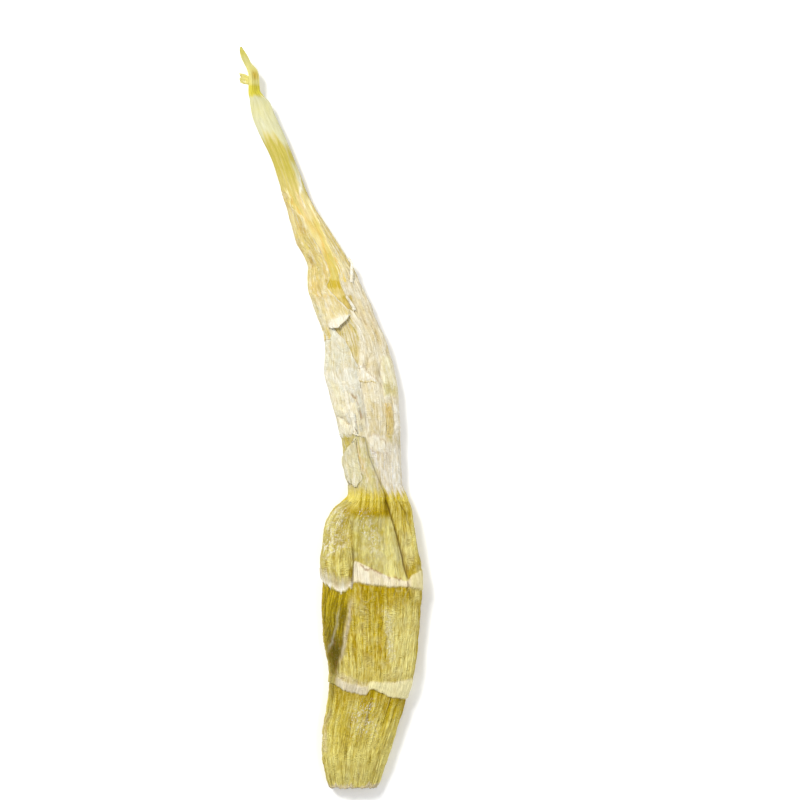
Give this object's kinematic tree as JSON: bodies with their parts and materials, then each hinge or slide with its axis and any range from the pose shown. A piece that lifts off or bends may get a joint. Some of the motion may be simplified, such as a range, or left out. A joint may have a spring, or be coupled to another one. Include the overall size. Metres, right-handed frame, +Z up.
{
  "type": "dried bamboo shoot",
  "caption": "Peeled bamboo shoot, dried and pressed flat: a folded, ringed stem that runs into papery sheaths and a thin torn tip. It lies flat as a food, market or pantry prop.",
  "frame": {"origin": "on the surface the shoot rests on, under the middle of its bounding box", "axes": "+Y towards the tip, away from the cut end; +Z up out of the front face; +X to the right seen from above with the tip up"},
  "size_m": [0.0698, 0.282, 0.014],
  "materials": {
    "stem": "dried golden olive flesh with lengthwise ribs, cream joint bands and a white mineral bloom",
    "strap": "smooth dried young sheath, pale lime cream with golden lengthwise bands",
    "sheath": "matte papery dried sheath, cream to white with fine lengthwise fibres",
    "remnant": "bleached torn sheath remnant, matte and near white"
  },
  "bodies": {
    "root": {"stem": "stem", "strap": "strap", "right_sheath": "sheath", "waist_sheath": "sheath", "front_sheath": "sheath", "left_sheath": "sheath", "upper_sheath": "sheath", "torn_flap": "remnant", "torn_tongue": "remnant", "side_sliver": "remnant", "window_sliver": "remnant", "tip_stub": "remnant"}
  },
  "joints": []
}
